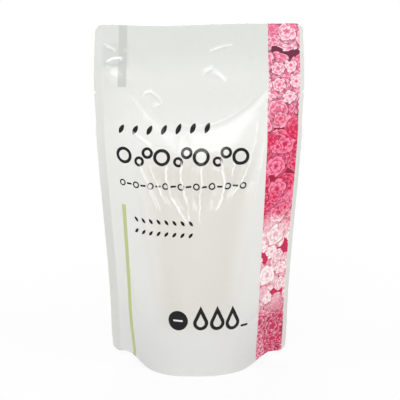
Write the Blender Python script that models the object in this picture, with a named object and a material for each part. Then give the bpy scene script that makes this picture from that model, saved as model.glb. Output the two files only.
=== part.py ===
"""Body wash refill pouch, filled and standing: one sealed film pack, as one closed solid.

Metres, +Z up. The front faces -Y, the table is z = 0, and the origin is under the middle of the base.
A place on a film is given by its flat distance from the film's centre line, + to the right in front
view, and by its height. The side edges come in as far as the bulge of the filled pack takes up film.
"""

import bmesh
import bpy
import numpy as np

# Film, seals and edge
FILM_WIDTH = 0.130
PACK_HEIGHT = 0.222
SEAL_THICKNESS = 0.0006
SKIRT_THICKNESS = 0.0005
SIDE_SEAL = 0.005
FOOT_SEAL = 0.0072
TOP_SEAL = 0.010
TOP_DIP = 0.0008
TOP_DRAWN_IN = 0.0013
TOP_CORNER_RADIUS = 0.006
FOOT_CORNER_RADIUS = 0.006
CORNER_REACH = 3.0
NOTCH_BELOW_TOP = 0.044
NOTCH_DEPTH = 0.0018
NOTCH_HEIGHT = 0.0026

# Filled form: half depths are from the middle plane to the outside of one film
FOOT_HALF_DEPTH = 0.0282
BELLY_HALF_DEPTH = 0.0290
BELLY_HEIGHT = 0.034
HEAD_HALF_DEPTH = 0.0030
SHOULDER_HEIGHT = 0.157
SHOULDER_RISE = 0.050
SHOULDER_CURVE = 1.4
SHOULDER_ROUND = 0.7
LEAN_LEFT = 0.085
TOP_TWIST = 0.045
TOP_WAVE = 0.0014
TOP_WAVE_LENGTH = 0.085
WAVE_FROM_SHARE = 0.5

# Roundness of the plan section: the two powers of a lens, in the belly and at the foot
BELLY_LENS = (2.0, 1.05)
FOOT_LENS = (3.0, 1.75)

# Base: the gusset film lies flat on the table and climbs to its fold's end at each side seal
GUSSET_HEIGHT = 0.040
BASE_SEAL = 0.006
GUSSET_FLAT_LENGTH = 0.066
GUSSET_FLAT_SHARE = 0.62
GUSSET_CLIMB = 1.6
SKIRT_CURVE = 2.4
CORNER_LIFT = 0.0056
LIFT_FROM_SHARE = 0.46
LIFT_TO_SHARE = 0.86

# Print: fields of colour, as distances from the film's left or right edge
STRIPE_FROM_LEFT = 0.0148
STRIPE_WIDTH = 0.0030
STRIPE_TOP = 0.107
BAND_FROM_RIGHT = 0.0026
BAND_WIDTH = 0.0196

# Pour spout embossed in the top left corner, pointing up and out
SPOUT_FROM_LEFT = 0.014
SPOUT_BELOW_TOP = 0.034
SPOUT_RADIUS = 0.008
SPOUT_RISE = 0.0016

# Crumples of the front film: start (flat distance, height), end, depth (+ stands out) and half width
CRUMPLES = (
    ((-0.034, 0.156), (-0.021, 0.112), -0.0010, 0.0022),
    ((-0.020, 0.138), (-0.008, 0.100), 0.0011, 0.0022),
    ((-0.012, 0.148), (-0.008, 0.106), -0.0011, 0.0022),
    ((0.002, 0.138), (0.002, 0.100), 0.0011, 0.0022),
    ((0.010, 0.148), (0.007, 0.106), -0.0011, 0.0022),
    ((0.018, 0.140), (0.014, 0.106), 0.0011, 0.0022),
    ((0.028, 0.150), (0.018, 0.112), -0.0010, 0.0024),
    ((0.037, 0.160), (0.024, 0.114), 0.0010, 0.0022),
    ((-0.041, 0.156), (-0.025, 0.142), 0.0010, 0.0022),
    ((-0.040, 0.150), (-0.024, 0.040), 0.0012, 0.0060),
    ((0.044, 0.156), (0.024, 0.040), 0.0012, 0.0060),
    ((0.047, 0.058), (0.034, 0.030), -0.0009, 0.0026),
    ((-0.047, 0.058), (-0.038, 0.028), -0.0009, 0.0026),
)
CRUMPLE_END_SHARE = 0.25

# Fineness of the mesh
COLUMN_WIDTH = 0.0036
ROW_HEIGHT = 0.0052
CORNER_COLUMNS = 4
SKIRT_STEPS = 5
GUSSET_STEPS = 10
SECTION_SAMPLES = 240
SECTION_ROUNDS = 25
MEETING_SHARE = 1 / 12

# Colours in linear light, as the shader takes them
FILM_COLOUR = (0.80, 0.81, 0.78, 1.0)
BAND_COLOUR = (0.72, 0.16, 0.28, 1.0)
STRIPE_COLOUR = (0.54, 0.62, 0.27, 1.0)
FILM_ROUGHNESS = 0.25

HALF_WIDTH = FILM_WIDTH / 2
SEAL_LINE = HALF_WIDTH - SIDE_SEAL
FOOT_SEAL_LINE = HALF_WIDTH - FOOT_SEAL
TOP_SEAL_LINE = PACK_HEIGHT - TOP_SEAL
NOTCH_LINE = PACK_HEIGHT - NOTCH_BELOW_TOP
STRIPE_LEFT = -HALF_WIDTH + STRIPE_FROM_LEFT
BAND_RIGHT = HALF_WIDTH - BAND_FROM_RIGHT


def smooth(share):
    """0 to 1 with level ends, held outside them."""
    share = np.clip(share, 0.0, 1.0)
    return share * share * (3.0 - 2.0 * share)


def bulge(across, height):
    """Outside of the film from the middle plane. across is 0 in the middle and 1 at the side seal."""
    foot = smooth(1.0 - height / GUSSET_HEIGHT)
    power, sharpness = (low + (high - low) * foot for low, high in zip(BELLY_LENS, FOOT_LENS))
    lens = (1.0 - across**power) ** sharpness
    shoulder = SHOULDER_HEIGHT + SHOULDER_RISE * across**2
    above = np.clip((height - BELLY_HEIGHT) / (shoulder - BELLY_HEIGHT), 0.0, 1.0)
    below = smooth(1.0 - height / BELLY_HEIGHT)
    liquid = (BELLY_HALF_DEPTH - HEAD_HALF_DEPTH) * (1.0 - above**SHOULDER_CURVE) ** SHOULDER_ROUND
    liquid -= (BELLY_HALF_DEPTH - FOOT_HALF_DEPTH) * below
    head = HEAD_HALF_DEPTH * smooth((TOP_SEAL_LINE - height) / (TOP_SEAL_LINE - SHOULDER_HEIGHT))
    return SEAL_THICKNESS / 2 + (liquid + head) * lens


def section(height, flats):
    """(x, depth) of the film at one height, at flat distances of 0 or more from its centre line."""
    share = np.linspace(0.0, 1.0, SECTION_SAMPLES)
    seal = SIDE_SEAL + (FOOT_SEAL - SIDE_SEAL) * smooth(1.0 - height / GUSSET_HEIGHT)
    reach = HALF_WIDTH
    for _ in range(SECTION_ROUNDS):
        x = reach * share
        depth = bulge(np.clip(x / (reach - seal), 0.0, 1.0), height)
        run = np.append(0.0, np.cumsum(np.hypot(np.diff(x), np.diff(depth))))
        reach += HALF_WIDTH - run[-1]
    return np.interp(flats, run, x), np.interp(flats, run, depth)


def crumple_depth(flat, height):
    """How far the crumples and the spout's dome push the front film out at a place on it."""
    total = 0.0
    for start, end, depth, half_width in CRUMPLES:
        run = np.subtract(end, start)
        along = np.dot((flat - start[0], height - start[1]), run) / np.dot(run, run)
        aside = np.hypot(flat - start[0] - along * run[0], height - start[1] - along * run[1])
        ends = smooth(along / CRUMPLE_END_SHARE) * smooth((1.0 - along) / CRUMPLE_END_SHARE)
        total += depth * ends * np.exp(-((aside / half_width) ** 2))
    dome = np.hypot(flat + HALF_WIDTH - SPOUT_FROM_LEFT, height - PACK_HEIGHT + SPOUT_BELOW_TOP)
    return total + SPOUT_RISE * np.exp(-((dome / SPOUT_RADIUS) ** 2))


def column_flats():
    """Flat distances of the mesh's columns, left to right, with one on each edge of a seal or print."""
    turn = np.linspace(0.0, np.pi / 2, CORNER_COLUMNS + 1)
    corner = HALF_WIDTH - TOP_CORNER_RADIUS * (1.0 - np.sin(turn))
    edges = [*-corner, *corner, -SEAL_LINE, SEAL_LINE]
    edges += [STRIPE_LEFT, STRIPE_LEFT + STRIPE_WIDTH, BAND_RIGHT, BAND_RIGHT - BAND_WIDTH]
    return even_lines(edges, COLUMN_WIDTH)


def row_heights():
    """Heights of the mesh's rows, from the foot to the top edge."""
    edges = [0.0, STRIPE_TOP, TOP_SEAL_LINE, PACK_HEIGHT]
    edges += [NOTCH_LINE - NOTCH_HEIGHT / 2, NOTCH_LINE, NOTCH_LINE + NOTCH_HEIGHT / 2]
    return even_lines(edges, ROW_HEIGHT)


def even_lines(edges, step):
    """The given lines in order, less any that nearly meet, with even lines between them."""
    ordered = np.unique(np.round(edges, 6))
    lines = [ordered[0]]
    for line in ordered[1:]:
        if line - lines[-1] < step * MEETING_SHARE:
            continue
        count = max(1, int(np.ceil((line - lines[-1]) / step)))
        lines.extend(np.linspace(lines[-1], line, count + 1)[1:])
    return np.array(lines)


def edge_height(flat, height):
    """The height of a place once the top edge's and the foot's round corners are cut."""
    into_top = np.clip((abs(flat) - HALF_WIDTH + TOP_CORNER_RADIUS) / TOP_CORNER_RADIUS, 0.0, 1.0)
    into_foot = np.clip((abs(flat) - HALF_WIDTH + FOOT_CORNER_RADIUS) / FOOT_CORNER_RADIUS, 0.0, 1.0)
    top_cut = TOP_CORNER_RADIUS * (1.0 - np.sqrt(1.0 - into_top**2))
    top_cut += TOP_DIP * (1.0 - (flat / HALF_WIDTH) ** 2)
    foot_cut = FOOT_CORNER_RADIUS * (1.0 - np.sqrt(1.0 - into_foot**2))
    lift = (abs(flat) / HALF_WIDTH - LIFT_FROM_SHARE) / (LIFT_TO_SHARE - LIFT_FROM_SHARE)
    foot_cut += CORNER_LIFT * smooth(lift)
    near_top = smooth((height - PACK_HEIGHT) / (CORNER_REACH * TOP_CORNER_RADIUS) + 1.0)
    near_foot = smooth(1.0 - height / (CORNER_REACH * FOOT_CORNER_RADIUS))
    return height - top_cut * near_top + foot_cut * near_foot


def notched(flat, height):
    """The flat distance of a place once the tear notch draws the side edge in."""
    cut = NOTCH_DEPTH * np.clip(1.0 - abs(height - NOTCH_LINE) / (NOTCH_HEIGHT / 2), 0.0, 1.0)
    into = np.clip((abs(flat) - SEAL_LINE) / SIDE_SEAL, 0.0, 1.0)
    return flat - np.sign(flat) * cut * into


def placed(flat, x, y, height):
    """World place of a point of a film: the belly leans left, and the flat top is twisted and wavy."""
    lean = LEAN_LEFT * (abs(y) - SEAL_THICKNESS / 2)
    rising = smooth(height / SHOULDER_HEIGHT - WAVE_FROM_SHARE)
    wave = TOP_WAVE * np.sin(2 * np.pi * x / TOP_WAVE_LENGTH) * rising
    turn = TOP_TWIST * x * (height / PACK_HEIGHT) ** 2
    drawn = 1.0 - TOP_DRAWN_IN / HALF_WIDTH * smooth((height - NOTCH_LINE) / NOTCH_BELOW_TOP)
    return x * drawn - lean, y + wave + turn, edge_height(flat, height)


def film_grid(flats, heights, side):
    """Points of one film, [row][column]. side is -1 for the front and 1 for the back."""
    rows = []
    for height in heights:
        places = notched(flats, height)
        x, depth = section(height, np.abs(places))
        row = []
        for flat, out, away in zip(places, x, depth):
            clear = smooth((SEAL_LINE - abs(flat)) / SIDE_SEAL)
            away += clear * crumple_depth(-side * flat, height)
            row.append(placed(flat, np.sign(flat) * out, side * away, height))
        rows.append(row)
    return rows


def gusset_line(flat):
    """Heights at one column: the base seal's line, and the gusset film on the middle plane."""
    across = abs(flat) / FOOT_SEAL_LINE
    seal = BASE_SEAL + (GUSSET_HEIGHT - BASE_SEAL) * across**SKIRT_CURVE
    flat_end = GUSSET_FLAT_LENGTH / 2 / FOOT_SEAL_LINE
    climb = np.clip((across - flat_end) / (1.0 - flat_end), 0.0, 1.0)
    return seal, GUSSET_HEIGHT * climb**GUSSET_CLIMB


def underside_path(flat):
    """Points under the base at one column: up the front skirt, over the gusset, down the back skirt."""
    seal, middle = gusset_line(flat)
    front = []
    for height in np.linspace(0.0, seal, SKIRT_STEPS + 1):
        x, depth = section(height, abs(flat))
        front.append((np.sign(flat) * x, SKIRT_THICKNESS - depth, height))
    x, inside, seal_height = front[-1]
    over = []
    for share in np.linspace(-1.0, 1.0, GUSSET_STEPS + 1)[1:-1]:
        rise = np.clip((abs(share) - GUSSET_FLAT_SHARE) / (1.0 - GUSSET_FLAT_SHARE), 0.0, 1.0)
        over.append((x, -share * inside, middle + (seal_height - middle) * rise**2))
    back = [(x, -y, z) for x, y, z in reversed(front)]
    return [placed(flat, *point) for point in front + over + back]


def add_quad(mesh, corners, slot=0):
    """One face, smooth, in a material slot."""
    face = mesh.faces.new(corners)
    face.smooth = True
    face.material_index = slot


def print_slot(left, right, height):
    """Material slot of the front film between two columns: 0 film, 1 flower band, 2 stripe."""
    middle = (left + right) / 2
    if BAND_RIGHT - BAND_WIDTH < middle < BAND_RIGHT:
        return 1
    if STRIPE_LEFT < middle < STRIPE_LEFT + STRIPE_WIDTH and height < STRIPE_TOP:
        return 2
    return 0


def build_pouch():
    """The closed mesh: front and back film, their joined edges, the skirt and the gusset."""
    flats = column_flats()
    heights = row_heights()
    mesh = bmesh.new()
    front = [[mesh.verts.new(p) for p in row] for row in film_grid(flats, heights, -1)]
    back = [[mesh.verts.new(p) for p in row] for row in film_grid(flats, heights, 1)]
    last = len(flats) - 1
    for low, high, low_back, high_back, height in zip(front, front[1:], back, back[1:], heights):
        for i in range(last):
            slot = print_slot(flats[i], flats[i + 1], height)
            add_quad(mesh, (low[i], low[i + 1], high[i + 1], high[i]), slot)
            add_quad(mesh, (low_back[i + 1], low_back[i], high_back[i], high_back[i + 1]))
        add_quad(mesh, (low_back[0], low[0], high[0], high_back[0]))
        add_quad(mesh, (low[last], low_back[last], high_back[last], high[last]))
    for i in range(last):
        add_quad(mesh, (front[-1][i], front[-1][i + 1], back[-1][i + 1], back[-1][i]))
    add_underside(mesh, flats, front[0], back[0])
    data = bpy.data.meshes.new("pouch")
    mesh.to_mesh(data)
    mesh.free()
    return data


def add_underside(mesh, flats, front, back):
    """Closes the foot: a plain edge where the films are sealed together, an open skirt between."""
    paths = {}
    for i, flat in enumerate(flats):
        if abs(flat) < FOOT_SEAL_LINE - COLUMN_WIDTH / 2:
            paths[i] = [mesh.verts.new(p) for p in underside_path(flat)]
    first, final = min(paths), max(paths)
    for i in range(len(flats) - 1):
        if i not in paths and i + 1 not in paths:
            add_quad(mesh, (front[i], back[i], back[i + 1], front[i + 1]))
        elif i in paths and i + 1 in paths:
            add_quad(mesh, (front[i], paths[i][0], paths[i + 1][0], front[i + 1]))
            for k in range(len(paths[i]) - 1):
                add_quad(mesh, (paths[i][k], paths[i][k + 1], paths[i + 1][k + 1], paths[i + 1][k]))
            add_quad(mesh, (paths[i][-1], back[i], back[i + 1], paths[i + 1][-1]))
    add_pocket_end(mesh, paths[first], (front[first], back[first]), (front[first - 1], back[first - 1]), -1)
    add_pocket_end(mesh, paths[final], (front[final], back[final]), (front[final + 1], back[final + 1]), 1)


def add_pocket_end(mesh, path, foot, sealed, turn):
    """The narrow end of the space under the gusset, where front and back film come together."""
    half = len(path) // 2
    loop = [foot[0], *path, foot[1]]
    fans = [(loop[k], loop[k + 1], sealed[0]) for k in range(half)]
    fans.append((loop[half], sealed[1], sealed[0]))
    fans += [(loop[k], loop[k + 1], sealed[1]) for k in range(half, len(loop) - 1)]
    for corners in fans:
        add_quad(mesh, corners[::turn])


def make_material(name, colour):
    """Glossy printed film in one plain colour."""
    material = bpy.data.materials.new(name)
    material.use_nodes = True
    shader = material.node_tree.nodes["Principled BSDF"]
    shader.inputs["Base Color"].default_value = colour
    shader.inputs["Roughness"].default_value = FILM_ROUGHNESS
    shader.inputs["Metallic"].default_value = 0.0
    return material


def main():
    for old in list(bpy.data.objects):
        bpy.data.objects.remove(old)
    data = build_pouch()
    data.materials.append(make_material("white_film", FILM_COLOUR))
    data.materials.append(make_material("flower_band", BAND_COLOUR))
    data.materials.append(make_material("green_stripe", STRIPE_COLOUR))
    pouch = bpy.data.objects.new("pouch", data)
    bpy.context.scene.collection.objects.link(pouch)


main()
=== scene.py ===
"""The looks of a filled refill pouch of body wash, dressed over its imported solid.

The solid of the frame gives the pack's outer box, its stand on the table and its material slot. One finely
creased film pack stands for it here: printed front film, plain back film and base gusset, welded edges and
an embossed pour spout. Metres and +Z up, unless a name ends in _mm; the printed front faces -Y. A place on a
film is its flat distance from the film's centre line, + to the right in front view, and its height.
"""

import logging
import math
from collections.abc import Sequence
from dataclasses import dataclass, field
from enum import Enum
from functools import partial, reduce

import bpy
import numpy as np
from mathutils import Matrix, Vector

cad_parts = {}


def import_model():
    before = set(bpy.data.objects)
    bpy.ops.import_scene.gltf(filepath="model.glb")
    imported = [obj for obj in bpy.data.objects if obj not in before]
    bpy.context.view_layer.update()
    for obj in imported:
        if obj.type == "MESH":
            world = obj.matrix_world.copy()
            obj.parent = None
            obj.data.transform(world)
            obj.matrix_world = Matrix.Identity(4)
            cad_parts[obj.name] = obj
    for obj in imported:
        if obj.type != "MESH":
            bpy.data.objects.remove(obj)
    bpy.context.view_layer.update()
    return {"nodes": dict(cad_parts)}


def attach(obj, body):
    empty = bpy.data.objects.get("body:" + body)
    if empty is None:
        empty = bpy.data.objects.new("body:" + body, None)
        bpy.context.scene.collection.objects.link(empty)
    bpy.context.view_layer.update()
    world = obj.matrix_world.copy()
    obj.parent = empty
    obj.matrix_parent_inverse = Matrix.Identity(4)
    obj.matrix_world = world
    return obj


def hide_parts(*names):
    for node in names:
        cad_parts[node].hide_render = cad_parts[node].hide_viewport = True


LOG = logging.getLogger("refill_pouch")
MM = 0.001
PLACE_LAYER = "film_place_mm"
# Painted highlights: each point's share of the white glint painted along the crease crests.
GLINT_LAYER = "painted_crease_glint"
# Grid lines that are this share of a step apart, or less, count as one.
MEETING_SHARE = 0.25
MICROMETRE_DIGITS = 6
# The sRGB curve: a straight toe, then a power.
SRGB_TOE = 0.04045
SRGB_TOE_SLOPE = 12.92
SRGB_OFFSET = 0.055
SRGB_POWER = 2.4
BYTE_TOP = 255
HEX_STARTS = (1, 3, 5)
PLAIN_WHITE = (1.0, 1.0, 1.0, 1.0)
NOISE_MEAN = (0.5, 0.5, 0.5)
# Where a Mix node's colours stand among its sockets.
MIX_UNDER, MIX_OVER, MIX_RESULT = 6, 7, 2

Colour = tuple[float, float, float, float]
Pair = tuple[float, float]
Array = np.ndarray
Socket = bpy.types.NodeSocket
Coat = tuple[Socket, Socket | Colour]


def srgb(code: str) -> Colour:
    """Turns an sRGB hex colour to linear light.

    Args:
        code: Six hex digits after a hash sign.

    Returns:
        Red, green, blue and alpha, as a shader takes them.
    """
    linear = []
    for start in HEX_STARTS:
        share = int(code[start : start + 2], 16) / BYTE_TOP
        curved = ((share + SRGB_OFFSET) / (1.0 + SRGB_OFFSET)) ** SRGB_POWER
        linear.append(share / SRGB_TOE_SLOPE if share <= SRGB_TOE else curved)
    return (*linear, 1.0)


def smooth(share: Array | float) -> Array:
    """0 to 1 with level ends, held outside them."""
    share = np.clip(share, 0.0, 1.0)
    return share * share * (3.0 - 2.0 * share)


def even_lines(edges: list[float], step: float) -> Array:
    """Grid lines at the given edges, with even lines between them.

    Args:
        edges: Lines that the grid must have, in any order.
        step: The widest gap between two lines.

    Returns:
        The lines in rising order, less any edge that nearly meets the one before it.
    """
    ordered = np.unique(np.round(edges, MICROMETRE_DIGITS))
    lines = [ordered[0]]
    for line in ordered[1:]:
        if line - lines[-1] < MEETING_SHARE * step:
            continue
        count = max(1, math.ceil((line - lines[-1]) / step))
        lines.extend(np.linspace(lines[-1], line, count + 1)[1:])
    return np.array(lines)


def tapered(share: Array, end_share: float) -> Array:
    """1 along a crease, and down to 0 over the given share of it at both ends."""
    return smooth(share / end_share) * smooth((1.0 - share) / end_share)


def in_scene(name: str, data: bpy.types.ID) -> bpy.types.Object:
    """Puts a mesh, lamp or camera into the scene.

    Args:
        name: The object's name.
        data: The mesh, lamp or camera.

    Returns:
        The object.
    """
    made = bpy.data.objects.new(name, data)
    bpy.context.scene.collection.objects.link(made)
    return made


class Graph:
    """The nodes of one material or of the world, to which more are added."""

    def __init__(self, owner: bpy.types.Material | bpy.types.World) -> None:
        """Takes charge of the nodes.

        Args:
            owner: The material or world that they belong to.
        """
        owner.use_nodes = True
        self.owner = owner
        self.nodes = owner.node_tree.nodes
        self.links = owner.node_tree.links

    @property
    def shader(self) -> bpy.types.Node:
        """The material's Principled shader."""
        return self.nodes["Principled BSDF"]

    def add(self, kind: str, inputs: Sequence | dict = (), output: int | str = 0, **settings: str) -> Socket:
        """Adds one node with its settings and links.

        Args:
            kind: Blender's name of the node, without ShaderNode.
            inputs: Values or sockets, in the order of the node's inputs or by their names. None is skipped.
            output: Which output to hand back.
            **settings: The node's own properties.

        Returns:
            The output socket that was asked for.
        """
        node = self.nodes.new("ShaderNode" + kind)
        for name, value in settings.items():
            setattr(node, name, value)
        for key, value in inputs.items() if isinstance(inputs, dict) else enumerate(inputs):
            self.feed(node.inputs[key], value)
        return node.outputs[output]

    def feed(self, socket: Socket, value: object) -> None:
        """Links a socket to an input, or sets the input's value.

        Args:
            socket: The input.
            value: The socket to link or the value to set. None leaves the input as it is.
        """
        if isinstance(value, bpy.types.NodeSocket):
            self.links.new(value, socket)
        elif value is not None:
            socket.default_value = value

    def math(self, operation: str, *inputs: object) -> Socket:
        """One step of arithmetic with single numbers."""
        return self.add("Math", inputs, operation=operation)

    def vector(self, operation: str, *inputs: object) -> Socket:
        """One step of arithmetic with vectors."""
        return self.add("VectorMath", inputs, operation=operation)

    def length(self, vector: Socket) -> Socket:
        """A vector's length."""
        return self.add("VectorMath", [vector], "Value", operation="LENGTH")

    def axes(self, vector: Socket) -> tuple[Socket, ...]:
        """A vector's three numbers."""
        return tuple(self.add("SeparateXYZ", [vector]).node.outputs)

    def noise(self, place: Socket, scale: float, output: int | str = 0, **inputs: float) -> Socket:
        """Soft noise of two octaves, with any other inputs by name."""
        return self.add("TexNoise", {"Vector": place, "Scale": scale, "Detail": 2.0, **inputs}, output)

    def fade(self, value: Socket, start: float, end: float) -> Socket:
        """0 to 1, with level ends, as a value goes from start to end."""
        return self.add("MapRange", [value, start, end, 0.0, 1.0], interpolation_type="SMOOTHSTEP")

    def blend(self, share: Socket, under: object, over: object) -> Socket:
        """Mixes two colours: under where share is 0, over where it is 1."""
        inputs = {"Factor": share, MIX_UNDER: under, MIX_OVER: over}
        return self.add("Mix", inputs, MIX_RESULT, data_type="RGBA")


class FilmGraph(Graph):
    """A film's material, and where each point lies on the film, in millimetres."""

    def __init__(self, name: str) -> None:
        """Makes the material and reads the places that the mesh carries.

        Args:
            name: The material's name.
        """
        super().__init__(bpy.data.materials.new(name))
        self.place = self.add("Attribute", [], "Vector", attribute_name=PLACE_LAYER)
        self.flat, self.height, _ = self.axes(self.place)
        self.across = self.math("ABSOLUTE", self.flat)


@dataclass(frozen=True)
class FilledForm:
    """The standing form of the filled film pack, the same as the solid's, in metres."""

    film_width: float = 0.130
    pack_height: float = 0.222
    seal_thickness: float = 0.0006
    side_seal: float = 0.005
    foot_seal: float = 0.0072
    top_seal: float = 0.010
    top_dip: float = 0.0008
    top_drawn_in: float = 0.0013
    top_corner_radius: float = 0.006
    foot_corner_radius: float = 0.006
    notch_below_top: float = 0.044
    notch_depth: float = 0.0018
    notch_height: float = 0.0026
    foot_half_depth: float = 0.0282
    belly_half_depth: float = 0.0290
    belly_height: float = 0.034
    head_half_depth: float = 0.0030
    shoulder_height: float = 0.157
    shoulder_rise: float = 0.050
    shoulder_curve: float = 1.4
    shoulder_round: float = 0.7
    belly_lens: Pair = (2.0, 1.05)
    foot_lens: Pair = (3.0, 1.75)
    lean_left: float = 0.085
    top_twist: float = 0.045
    top_wave: float = 0.0014
    top_wave_length: float = 0.085
    gusset_height: float = 0.040
    corner_lift: float = 0.0056
    lift_shares: Pair = (0.46, 0.86)
    corner_reach: float = 3.0
    wave_from_share: float = 0.5
    section_samples: int = 240
    section_rounds: int = 25

    @property
    def half_width(self) -> float:
        """Half of the flat film's width."""
        return self.film_width / 2

    @property
    def seal_line(self) -> float:
        """Flat distance of the side seal's inner line."""
        return self.half_width - self.side_seal

    @property
    def top_seal_line(self) -> float:
        """Height of the top seal's lower line."""
        return self.pack_height - self.top_seal

    @property
    def notch_line(self) -> float:
        """Height of the tear notches."""
        return self.pack_height - self.notch_below_top

    def bulge(self, across: Array, height: float) -> Array:
        """Outside of the film from the pack's middle plane.

        Args:
            across: 0 in the middle of the pack and 1 at the side seal.
            height: Height above the table.

        Returns:
            Half of the pack's depth at each place.
        """
        foot = smooth(1.0 - height / self.gusset_height)
        powers = [low + (high - low) * foot for low, high in zip(self.belly_lens, self.foot_lens)]
        lens = (1.0 - across ** powers[0]) ** powers[1]
        shoulder = self.shoulder_height + self.shoulder_rise * across**2
        above = np.clip((height - self.belly_height) / (shoulder - self.belly_height), 0.0, 1.0)
        full = (1.0 - above**self.shoulder_curve) ** self.shoulder_round
        liquid = (self.belly_half_depth - self.head_half_depth) * full
        below = smooth(1.0 - height / self.belly_height)
        liquid -= (self.belly_half_depth - self.foot_half_depth) * below
        head_run = self.top_seal_line - self.shoulder_height
        head = self.head_half_depth * smooth((self.top_seal_line - height) / head_run)
        return self.seal_thickness / 2 + (liquid + head) * lens

    def section(self, height: float, flats: Array) -> tuple[Array, Array]:
        """Lays the film round the filled pack at one height, so that no film is lost.

        Args:
            height: Height above the table.
            flats: Flat distances from the film's centre line, each 0 or more.

        Returns:
            The distance to the side and the depth of each place.
        """
        share = np.linspace(0.0, 1.0, self.section_samples)
        wide = smooth(1.0 - height / self.gusset_height)
        seal = self.side_seal + (self.foot_seal - self.side_seal) * wide
        reach = self.half_width
        for _ in range(self.section_rounds):
            x = reach * share
            depth = self.bulge(np.clip(x / (reach - seal), 0.0, 1.0), height)
            run = np.append(0.0, np.cumsum(np.hypot(np.diff(x), np.diff(depth))))
            reach += self.half_width - run[-1]
        return np.interp(flats, run, x), np.interp(flats, run, depth)

    def corner_cut(self, flat: Array, radius: float) -> Array:
        """How far a round corner takes the edge in at each flat distance."""
        into = np.clip((abs(flat) - self.half_width) / radius + 1.0, 0.0, 1.0)
        return radius * (1.0 - np.sqrt(1.0 - into**2))

    def edge_height(self, flat: Array, height: Array) -> Array:
        """Cuts the round corners and lifts the foot's corners.

        Args:
            flat: Flat distance of each place.
            height: Its height on the uncut film.

        Returns:
            Its height above the table.
        """
        share = abs(flat) / self.half_width
        top_cut = self.corner_cut(flat, self.top_corner_radius) + self.top_dip * (1.0 - share**2)
        lift_from, lift_to = self.lift_shares
        lift = self.corner_lift * smooth((share - lift_from) / (lift_to - lift_from))
        foot_cut = self.corner_cut(flat, self.foot_corner_radius) + lift
        near_top = smooth((height - self.pack_height) / (self.corner_reach * self.top_corner_radius) + 1.0)
        near_foot = smooth(1.0 - height / (self.corner_reach * self.foot_corner_radius))
        return height - top_cut * near_top + foot_cut * near_foot

    def notched(self, flat: Array, height: float) -> Array:
        """Draws the side edges in at the tear notches.

        Args:
            flat: Flat distance of each place on the uncut film.
            height: Their height.

        Returns:
            The flat distances once the notches are cut.
        """
        near = np.clip(1.0 - abs(height - self.notch_line) / (self.notch_height / 2), 0.0, 1.0)
        into = np.clip((abs(flat) - self.seal_line) / self.side_seal, 0.0, 1.0)
        return flat - np.sign(flat) * self.notch_depth * near * into

    def placed(self, flat: Array, x: Array, y: Array, height: Array) -> Array:
        """Leans the belly to the left and twists and waves the flat top.

        Args:
            flat: Flat distance of each place.
            x: Its distance to the side in the upright form.
            y: Its distance from the middle plane, - in front.
            height: Its height on the film.

        Returns:
            World places, one row of three numbers each.
        """
        lean = self.lean_left * (abs(y) - self.seal_thickness / 2)
        rising = smooth(height / self.shoulder_height - self.wave_from_share)
        wave = self.top_wave * np.sin(2 * np.pi * x / self.top_wave_length) * rising
        turn = self.top_twist * x * (height / self.pack_height) ** 2
        drawn = smooth((height - self.notch_line) / self.notch_below_top)
        narrow = 1.0 - self.top_drawn_in / self.half_width * drawn
        return np.stack([x * narrow - lean, y + wave + turn, self.edge_height(flat, height)], axis=-1)


class Profile(Enum):
    """How a crease falls off from its line: as a round ridge, or from a flat top."""

    ROUND = "round"
    PLATEAU = "plateau"


@dataclass(frozen=True)
class Crease:
    """A fold, ridge or embossed bar that pushes a film out along a line on it, in millimetres.

    Along its crest a thin white line is painted in as a highlight, the glint of the lamps on the sharp fold:
    a strength and a half width in millimetres set it.
    """

    line: tuple[Pair, ...]
    rise_mm: float
    half_width_mm: float
    # Painted highlight: the white glint along the crest.
    glint_strength: float = 0.0
    glint_mm: float = 0.42
    profile: Profile = Profile.ROUND
    end_share: float = 0.25
    glint_end_share: float = 0.10
    plateau_share: float = 0.6

    def lie(self, flat_mm: Array, height_mm: Array) -> tuple[Array, Array]:
        """Finds how each place lies to the crease.

        Args:
            flat_mm: Flat distances.
            height_mm: Heights.

        Returns:
            The distance from the crease's line, and the share of the way along it.
        """
        runs = np.diff(np.array(self.line, float), axis=0)
        lengths = np.hypot(*runs.T)
        nearest = np.full(flat_mm.shape, np.inf)
        share = np.zeros(flat_mm.shape)
        for (x, z), (dx, dz), length, before in zip(self.line, runs, lengths, np.cumsum(lengths) - lengths):
            along = np.clip(((flat_mm - x) * dx + (height_mm - z) * dz) / length**2, 0.0, 1.0)
            aside = np.hypot(flat_mm - x - along * dx, height_mm - z - along * dz)
            share = np.where(aside < nearest, (before + along * length) / lengths.sum(), share)
            nearest = np.minimum(aside, nearest)
        return nearest, share

    def push(self, flat_mm: Array, height_mm: Array) -> Array:
        """Finds how far the crease pushes the film out.

        Args:
            flat_mm: Flat distances.
            height_mm: Heights.

        Returns:
            The push at each place, in millimetres.
        """
        nearest, share = self.lie(flat_mm, height_mm)
        away = nearest / self.half_width_mm
        if self.profile is Profile.PLATEAU:
            return self.rise_mm * (1.0 - smooth((away - self.plateau_share) / self.plateau_share))
        return self.rise_mm * tapered(share, self.end_share) * np.exp(-(away**2))

    def painted_glint(self, flat_mm: Array, height_mm: Array) -> Array:
        """How much white glint the crease paints on the film at each place, from 0 to 1."""
        away, share = self.lie(flat_mm, height_mm)
        return self.glint_strength * tapered(share, self.glint_end_share) * np.exp(-((away / self.glint_mm) ** 2))


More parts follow.
